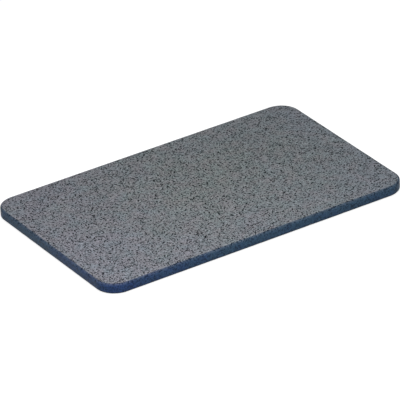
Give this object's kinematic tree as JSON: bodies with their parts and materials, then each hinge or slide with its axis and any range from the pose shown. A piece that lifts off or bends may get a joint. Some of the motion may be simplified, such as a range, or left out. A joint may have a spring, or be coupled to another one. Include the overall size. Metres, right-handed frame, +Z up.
{
  "type": "granite slab",
  "caption": "Thin rectangular stone plate with rounded corners and a flat honed top, resting on small rubber discs; a hard working surface for stamping and skiving leather.",
  "frame": {"origin": "on the bench, under the middle of the slab: the centre of the underside of the rubber feet", "axes": "+X along the slab's length, +Y across its width towards the back long side, +Z up out of the working face"},
  "size_m": [0.4064, 0.254, 0.0146],
  "materials": {
    "honed_granite": "satin",
    "black_rubber": "matte"
  },
  "bodies": {
    "root": {"granite_slab": "honed_granite", "foot_front_left": "black_rubber", "foot_front_right": "black_rubber", "foot_back_left": "black_rubber", "foot_back_right": "black_rubber"}
  },
  "joints": []
}
